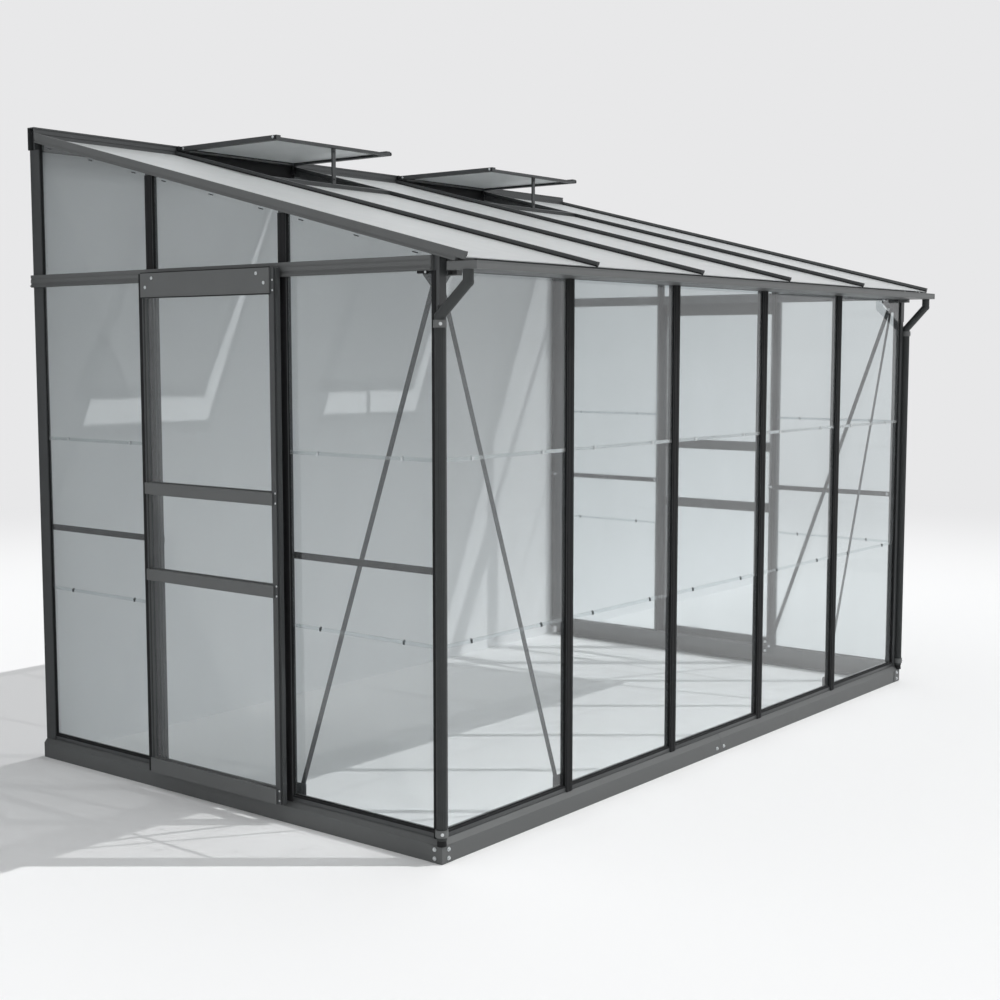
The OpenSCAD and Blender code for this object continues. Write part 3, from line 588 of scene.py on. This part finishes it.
# Lap strips: a thin clear film seals the lower edge of each top pane

film_face = -GLASS - 0.5 * MM
film_top = 13 * MM
film_foot = -0.5 * MM
film_thickness = 0.3 * MM
lap_strip = bent_strip([(film_face, film_top), (film_face, film_foot)], 1, film_thickness)
spread(lap_strip, lap_places, "lap_strips", lap_film, "frame")

# Glazing strips: black rubber between each bar's cap and the panes, and along the foot of the walls

strip_width = 7 * MM
under_cap = 4 * MM


def upright_strip(pane_face, length):
    """A strip from the back of the cap to a pane's face, with its two front edges rounded."""
    return block((0, CAP_BACK, 0), (strip_width, pane_face, length), SEAL_ROUND, upright_at(CAP_BACK))


def strip_start(wall, edge_side, edge_place):
    """Where a strip's own first edge goes so that it peeps out from under the cap at that edge."""
    start = edge_place - under_cap if edge_side == "first" else edge_place + under_cap - strip_width
    return start + strip_width if wall == "left" else start


for row in range(3):
    seal_places = []
    for wall, first, last in bays:
        for edge_side, edge_place in (("first", first), ("last", last)):
            seal_places.append(on_wall(wall, strip_start(wall, edge_side, edge_place), 0,
                                       BASE_TOP + row * PANE_STEP))
    seal = upright_strip(SEAT - (row + 1) * GLASS - row * LAP_GAP, PANE_STEP)
    spread(seal, seal_places, "glazing_strips_%d" % (row + 1), rubber, "frame")

# The bead turns in from the skirt to the pane's face and ends in a short lip.
bead_thickness = 2.2 * MM
bead_out = 1.2 * MM
bead_front = CAP_BACK - bead_out
bead_back = SEAT - GLASS - bead_out
bead_path = [(bead_front, -3 * MM), (bead_front, 2 * MM), (bead_back, 4 * MM), (bead_back, 7 * MM)]
foot_bead = bent_strip(bead_path, 1, bead_thickness)
skirt_foot = -19.5 * MM
skirt_top = -3.2 * MM
skirt_front = CAP_BACK - 2.2 * MM
skirt_back = CAP_BACK - 0.2 * MM
foot_skirt = block((0, skirt_front, skirt_foot), (1, skirt_back, skirt_top), TRIM_ROUND)
foot_places = [span(wall, first, last - first, 0, BASE_TOP) for wall, first, last in bays]
spread(foot_skirt, foot_places, "foot_skirts", finishes["frame_coat"], "frame")
bead_places = [place @ from_end for place in foot_places]
spread(foot_bead, bead_places, "foot_beads", rubber, "frame")

# Capping: a black rubber strip with a shallow groove covers the outer face of each bar

rafter_under = -18 * MM
capping_half = CAP_HALF + 0.6 * MM
capping_face = 12 * MM
capping_back = 14 * MM
capping_round = 0.9 * MM
groove_half = 3 * MM
groove_depth = 1 * MM


def capping_strip(length):
    """A flat strip with rounded long edges and a groove pressed down its middle."""
    strip = block((-capping_half, capping_face, 0), (capping_half, capping_back, length), capping_round,
                  upright_at(capping_face))
    bpy.context.view_layer.objects.active = strip
    bpy.ops.object.mode_set(mode="EDIT")
    for x in (-groove_half, groove_half):
        bpy.ops.mesh.select_all(action="SELECT")
        bpy.ops.mesh.bisect(plane_co=(x, 0, 0), plane_no=(1, 0, 0))
    choose(strip, "faces", lambda face: face.normal.y < -0.9 and abs(middle(face).x) < groove_half)
    bpy.ops.mesh.extrude_region_move(TRANSFORM_OT_translate={"value": (0, groove_depth, 0)})
    deselect()
    return strip


capping_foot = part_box("front_bars")[0].z
capping_runs = [("front", number, capping_foot, EAVE) for number in range(1, FRONT_BAYS)]
for wall in GABLES:
    for number in range(1, GABLE_BAYS):
        capping_runs.append((wall, number, capping_foot, EAVE))
        capping_runs.append((wall, number, BEAM_TOP, roof_height(bar_at(number) - CAP_HALF, rafter_under)))
capping_places = []
for wall, number, low, high in capping_runs:
    capping_places.append(on_wall(wall, bar_at(number), 0, low) @ Matrix.Diagonal((1, 1, high - low, 1)))
spread(capping_strip(1), capping_places, "bar_capping", rubber, "frame")

# The corner posts carry a narrower one on each gable, between the downpipe and the pane

post_capping_half = 9.5 * MM
post_capping_edge = POST_EDGE - 0.5 * MM
post_capping = block((-post_capping_half, capping_face, 0), (post_capping_half, capping_back, 1),
                     capping_round, upright_at(capping_face))
post_along = post_capping_edge - post_capping_half
post_tall = Matrix.Diagonal((1, 1, EAVE - capping_foot, 1))
post_places = [on_wall(wall, post_along, 0, capping_foot) @ post_tall for wall in GABLES]
spread(post_capping, post_places, "post_capping", rubber, "frame")

# The gables' middle bars have a thin flat one on their outer face, behind the panes

mid_low, mid_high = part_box("gable_mid_bars")
mid_face = INNER - 1.6 * MM
mid_margin = 0.3 * MM
mid_round = 0.4 * MM
mid_capping = block((0, mid_face, mid_low.z + mid_margin), (1, INNER - TOUCH, mid_high.z - mid_margin),
                    mid_round, lengthwise)
mid_end = 8 * MM
mid_places = [span(wall, first + mid_end, last - first - 2 * mid_end, 0, 0)
              for wall, first, last in bays if wall in GABLES]
spread(mid_capping, mid_places, "mid_bar_capping", rubber, "frame")

# Glazing strips beside the panes under the gable rafters, each as tall as the pane's edge there

gable_seal_places = []
for wall in GABLES:
    for edge_side, edge_place in (("last", bar_at(1) - CAP_HALF), ("first", bar_at(1) + CAP_HALF),
                                  ("last", bar_at(2) - CAP_HALF), ("first", bar_at(2) + CAP_HALF),
                                  ("last", WALL_EDGE)):
        tall = roof_height(edge_place - strip_width, rafter_under) - BEAM_TOP
        place = on_wall(wall, strip_start(wall, edge_side, edge_place), 0, BEAM_TOP)
        gable_seal_places.append(place @ Matrix.Diagonal((1, 1, tall, 1)))
spread(upright_strip(SEAT - GLASS, 1), gable_seal_places, "gable_glazing_strips", rubber, "frame")

# Dark wedges that press the gable's top panes into the rafters, three to a pane

wedge_step = 267 * MM
first_wedges = (127 * MM, 865 * MM, 1578 * MM)
wedge_half = 12 * MM
wedge_face = CAP_BACK + 5 * MM
wedge_foot = -13 * MM
wedge_top = -9 * MM
wedge = block((-wedge_half, wedge_face, wedge_foot), (wedge_half, SEAT - GLASS, wedge_top), 1 * MM)
wedge_places = []
for wall in GABLES:
    lean = -PITCH if wall == "right" else PITCH
    for first_wedge in first_wedges:
        for number in range(3):
            along = first_wedge + number * wedge_step
            place = on_wall(wall, along, 0, roof_height(along, rafter_under))
            wedge_places.append(place @ Matrix.Rotation(lean, 4, "Y"))
spread(wedge, wedge_places, "gable_glass_wedges", finishes["frame_coat"], "frame")

# Roof: strips between each roof bar's cap and the panes

eave_end = -ROOF_OVER / math.cos(PITCH)
ridge_end = (RIDGE_Y - FRONT) / math.cos(PITCH)
sill_end = (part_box("vent_sills")[0].y - FRONT) / math.cos(PITCH)
roof_cap_under = 8 * MM
roof_cap_half = 8 * MM
rafter_cap_edge = 17 * MM
roof_seal_start = eave_end + 4 * MM
roof_seal = block((0, 0, GLASS), (strip_width, 1, roof_cap_under), SEAL_ROUND,
                  lambda edge: level(edge) and abs(edge.verts[0].co.y - edge.verts[1].co.y) > 0.5
                  and middle(edge).z > GLASS + 1 * MM)
roof_seal_places = []
for number in range(FRONT_BAYS):
    first = rafter_cap_edge if number == 0 else bar_at(number) + roof_cap_half
    last = FRONT_LENGTH - rafter_cap_edge if number == FRONT_BAYS - 1 else bar_at(number + 1) - roof_cap_half
    top = sill_end if number in VENT_BAYS else ridge_end
    stretch = Matrix.Diagonal((1, top - roof_seal_start, 1, 1))
    for x in (first - under_cap, last + under_cap - strip_width):
        roof_seal_places.append(on_roof(LEFT + x, roof_seal_start, 0) @ stretch)
spread(roof_seal, roof_seal_places, "roof_glazing_strips", rubber, "frame")

# Vents: each side edge as (x, side), and each middle

vent_width = BAY - 2 * VENT_SIDE
vent_middles = [LEFT + bar_at(number) + BAY / 2 for number in VENT_BAYS]
vent_edges = []
for number in VENT_BAYS:
    vent_edges.append((LEFT + bar_at(number) + VENT_SIDE, -1))
    vent_edges.append((LEFT + bar_at(number + 1) - VENT_SIDE, 1))

# Hinges: ears beside the vents and lugs below them, on the ridge bar's face, with a black strip of painted
# shade under each vent

hinge_half = 6 * MM
hinge_depth = 14 * MM
hinge_round = 2 * MM
ear_out = 7 * MM
ear_rise = 0.5 * MM
ear_tall = RIDGE_TOP - VENT_LOW.z - 1.5 * MM
ear = block((-hinge_half, -hinge_depth, 0), (hinge_half, 0, ear_tall), hinge_round)
ear_places = []
for x, side in vent_edges:
    ear_places.append(Matrix.Translation((x + side * ear_out, RIDGE_Y, VENT_LOW.z + ear_rise)))
spread(ear, ear_places, "vent_hinge_ears", rubber, "frame")

lug_in = 17 * MM
lug_foot = -40 * MM
lug_top = -1 * MM
lug = block((-hinge_half, -hinge_depth, lug_foot), (hinge_half, 0, lug_top), hinge_round)
lug_places = [Matrix.Translation((x - side * lug_in, RIDGE_Y, VENT_LOW.z)) for x, side in vent_edges]
spread(lug, lug_places, "vent_hinge_lugs", rubber, "frame")

# A black strip on the ridge bar's face under each vent is painted shade, for the dark under the open vent.
shade_strip_thickness = 2 * MM
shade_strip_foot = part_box("ridge_bar")[0].z + 2 * MM
shade_strip_top = VENT_LOW.z - 1 * MM
shade_strip = block((0, -shade_strip_thickness, shade_strip_foot), (1, 0, shade_strip_top), TRIM_ROUND, lengthwise)
shade_strip_places = []
for x, side in vent_edges:
    if side < 0:
        shade_strip_places.append(Matrix.Translation((x, RIDGE_Y, 0)) @ Matrix.Diagonal((vent_width, 1, 1, 1)))
spread(shade_strip, shade_strip_places, "vent_painted_shade_strips", rubber, "frame")

# Corners: a black plug on each free corner, and screws in the plugs and near the hinges

vent_mid_z = (VENT_LOW.z + VENT_HIGH.z) / 2
plug_y = VENT_LOW.y + 9 * MM
plug_out = 6 * MM
plug_half = 7 * MM
plug_half_height = 8 * MM
plug_face = plug_out + plug_half
hinge_screw_y = VENT_HIGH.y - 30 * MM
vent_screws = []
for x, side in vent_edges:
    outward_turn = Matrix.Rotation(math.radians(side * 90), 4, "Y")
    for y, proud in ((plug_y, plug_face), (hinge_screw_y, 0)):
        vent_screws.append(Matrix.Translation((x + side * proud, y, vent_mid_z)) @ outward_turn)
spread(round_head(ROUND_RADIUS, ROUND_HEIGHT), vent_screws, "vent_corner_screws", zinc, "frame")

plug = block((-plug_half, -plug_half, -plug_half_height), (plug_half, plug_half, plug_half_height), 2.5 * MM)
plug_places = [Matrix.Translation((x + side * plug_out, plug_y, vent_mid_z)) for x, side in vent_edges]
spread(plug, plug_places, "vent_corner_plugs", rubber, "frame")

# Panes and stays: beads round the glass on both faces, and a bolt at each end of a stay

vent_bar = 25 * MM
glass_low, glass_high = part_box("vent_glass")
pane_width = vent_width - 2 * vent_bar
pane_length = glass_high.y - glass_low.y
ring_places = []
for x in vent_middles:
    y = (glass_low.y + glass_high.y) / 2
    ring_places.append(Matrix.Translation((x, y, glass_high.z)))
    ring_places.append(Matrix.Translation((x, y, glass_low.z)) @ Matrix.Rotation(math.pi, 4, "X"))
spread(bead_ring(pane_width, pane_length, 6 * MM, 2.5 * MM), ring_places, "vent_glass_beads", rubber, "frame")

stay_low, stay_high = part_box("vent_stays")
stay_bolt_heights = (stay_low.z + 22 * MM, stay_high.z - 14 * MM)
stay_bolts = []
for x in vent_middles:
    for z in stay_bolt_heights:
        stay_bolts.append(Matrix.Translation((x, stay_low.y, z)) @ Matrix.Rotation(math.radians(90), 4, "X"))
spread(hex_head(8 * MM, 4 * MM), stay_bolts, "vent_stay_bolts", finishes["frame_coat"], "frame")

# Downpipes: a screw on the outer side of each clip and an outlet under each pipe

pipe_in = 5 * MM
clip_radius = 22.3 * MM
clip_low, clip_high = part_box("pipe_clips")
clip_half = 12.5 * MM
pipe_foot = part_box("downpipes")[0].z
clip_screws = []
outlet_places = []
for side, turn in ((-1, -45), (1, 45)):
    axis = Vector((side * (-LEFT - pipe_in), FRONT + pipe_in, 0))
    reach_out = Vector((side, -1, 0)).normalized() * clip_radius
    for z in (clip_low.z + clip_half, clip_high.z - clip_half):
        spot = axis + reach_out + Vector((0, 0, z))
        clip_screws.append(Matrix.Translation(spot) @ Matrix.Rotation(math.radians(turn), 4, "Z")
                           @ Matrix.Rotation(math.radians(90), 4, "X"))
    outlet_places.append(Matrix.Translation(axis + Vector((0, 0, pipe_foot))))
spread(round_head(4.5 * MM, 4 * MM), clip_screws, "pipe_clip_screws", zinc, "frame")


def pipe_outlet(radius, drop, wall):
    """A short black spout: an open tube, a little wider at its mouth."""
    deselect()
    bpy.ops.mesh.primitive_cylinder_add(vertices=24, radius=radius, depth=drop, end_fill_type="NOTHING",
                                        location=(0, 0, -drop / 2))
    spout = bpy.context.object
    bpy.ops.object.transform_apply(location=True)
    bpy.ops.object.mode_set(mode="EDIT")
    choose(spout, "edges", lambda edge: level(edge) and middle(edge).z < -drop * 0.9)
    bpy.ops.transform.resize(value=(1.12, 1.12, 1), center_override=(0, 0, -drop))
    thicken(spout, wall, -1)
    return spout


spread(pipe_outlet(15.5 * MM, 20 * MM, 2 * MM), outlet_places, "pipe_outlets", rubber, "frame")

# Inside: bolts of the corner plates, foot plates, braces and middle bars

plate_depth = INNER + PLATE
brace_depth = plate_depth + PLATE
foot_along = bar_at(1) - 12 * MM
# Bolts at one end of a wall as (along, depth, height): the corner plate, the brace and the foot plate
corner_plate_bolts = [(INNER + 8 * MM, plate_depth, EAVE - 54 * MM),
                      (INNER + 10 * MM, plate_depth, EAVE + 1 * MM),
                      (INNER + 54 * MM, plate_depth, EAVE)]
brace_bolts = [(INNER + 25 * MM, brace_depth, EAVE - 50 * MM),
               (foot_along - 5 * MM, brace_depth, BASE_TOP + 4 * MM)]
foot_plate_bolts = [(foot_along + 20 * MM, plate_depth, BASE_TOP + 26 * MM),
                    (foot_along + 20 * MM, plate_depth, BASE_TOP - 24 * MM)]
room_bolts = []
for wall, mirrored in (("front", False), ("front", True), ("left", False), ("right", False)):
    for along, depth, height in corner_plate_bolts + brace_bolts + foot_plate_bolts:
        room_bolts.append(inward(wall, FRONT_LENGTH - along if mirrored else along, depth, height))
mid_bar_z = (mid_low.z + mid_high.z) / 2
mid_bolt_in = 10 * MM
mid_bolt_places = (INNER + mid_bolt_in, bar_at(1) - mid_bolt_in, bar_at(2) + mid_bolt_in, WALL_EDGE + 30 * MM)
for wall in GABLES:
    for along in mid_bolt_places:
        room_bolts.append(inward(wall, along, plate_depth, mid_bar_z))
spread(hex_head(HEX_ACROSS, HEX_HEIGHT), room_bolts, "plate_bolts", zinc, "frame")

# Door stops: a rubber block with a screw under the front end of each gable beam

stop_along = 80 * MM
stop_half = 22 * MM
stop_face = 1 * MM
stop_back = 13 * MM
stop_tall = 9 * MM
stop = block((-stop_half, stop_face, -stop_tall), (stop_half, stop_back, 0), 2 * MM)
spread(stop, [on_wall(wall, stop_along, 0, EAVE) for wall in GABLES], "door_stops", rubber, "frame")
screw_along = stop_along - 16 * MM
stop_screws = [outward(wall, screw_along, -stop_face, EAVE - stop_tall / 2) for wall in GABLES]
spread(round_head(3.4 * MM, 3 * MM), stop_screws, "door_stop_screws", zinc, "frame")

# Doors: bolts through the top plate, screws down the front stile, black strips on the rear stile, painted
# shadow lines along the top plate, and beads round the panes

door_first = DOOR_LOW.y - FRONT
door_last = DOOR_HIGH.y - FRONT
door_middle = (door_first + door_last) / 2
stile_out = RAIL_OUT - 6 * MM
step_out = stile_out - 7 * MM
stile_edge = 14 * MM
stile = 33 * MM
rail_centres = (108 * MM, 862 * MM, 1198 * MM, 1955 * MM)
pane_rows = ((133 * MM, 838 * MM), (882 * MM, 1174 * MM), (1218 * MM, 1927 * MM))
pane_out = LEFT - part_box("left_door_glass")[0].x
rail_in = 25 * MM
plate_first = door_first + rail_in
plate_length = door_last - door_first - 2 * rail_in
plate_low = pane_rows[-1][1]
# Bolts of the top plate, from the door's middle and up
plate_bolt_spots = ((289 * MM, 1998 * MM), (327 * MM, 1964 * MM))
screw_from_rail = 18 * MM
stile_strip_thickness = 1.5 * MM
stile_strip_foot = DOOR_LOW.z + 1 * MM
stile_strip_top = DOOR_HIGH.z - 1 * MM
# Black strips on the rear stile, as name, half width, middle from the door's edge, and the face that carries
# it
rear_stile_strips = (("_stile_black_strip", 8 * MM, 16.5 * MM, stile_out), ("_stile_edging", 3.6 * MM, 4 * MM, step_out))
shadow_line_face = 0.6 * MM
shadow_line_back = 5 * MM
shadow_line_tall = 3.4 * MM
shadow_line_heights = (plate_low - TOUCH - shadow_line_tall, DOOR_HIGH.z + TOUCH)
pane_bead = 4 * MM
pane_bead_depth = 6 * MM
for wall in GABLES:
    body = wall + "_door"
    plate_bolts = []
    for side in (-1, 1):
        for reach, height in plate_bolt_spots:
            plate_bolts.append(outward(wall, door_middle + side * reach, RAIL_OUT, height))
    spread(round_head(ROUND_RADIUS, ROUND_HEIGHT), plate_bolts, body + "_plate_bolts", zinc, body)
    stile_screws = []
    for centre in rail_centres:
        for height in (centre - screw_from_rail, centre + screw_from_rail):
            stile_screws.append(outward(wall, door_first + stile_edge, stile_out, height))
    spread(round_head(3 * MM, 2.6 * MM), stile_screws, body + "_stile_screws", zinc, body)
    # The rear stile has a black strip down its face and another down its outer step.
    for name, half, from_edge, out in rear_stile_strips:
        stile_strip = block((-half, -stile_strip_thickness, stile_strip_foot), (half, 0, stile_strip_top), TRIM_ROUND)
        spread(stile_strip, [on_wall(wall, door_last - from_edge, out, 0)], body + name, rubber, body)
    # Thin black strips along the top plate's upper and lower edges are painted shadow, for the shadow gaps
    # there.
    shadow_line = block((0, shadow_line_face, 0), (1, shadow_line_back, shadow_line_tall), TRIM_ROUND, lengthwise)
    shadow_line_places = [span(wall, plate_first, plate_length, RAIL_OUT, height) for height in shadow_line_heights]
    spread(shadow_line, shadow_line_places, body + "_plate_shadow_lines", rubber, body)
    for number, (low, high) in enumerate(pane_rows):
        bead = bead_ring(door_last - door_first - 2 * stile, high - low, pane_bead, pane_bead_depth)
        middle_z = (low + high) / 2
        faces = [outward(wall, door_middle, pane_out, middle_z),
                 inward(wall, door_middle, GLASS - pane_out, middle_z)]
        spread(bead, faces, "%s_pane_beads_%d" % (body, number + 1), finishes["door_coat"], body)
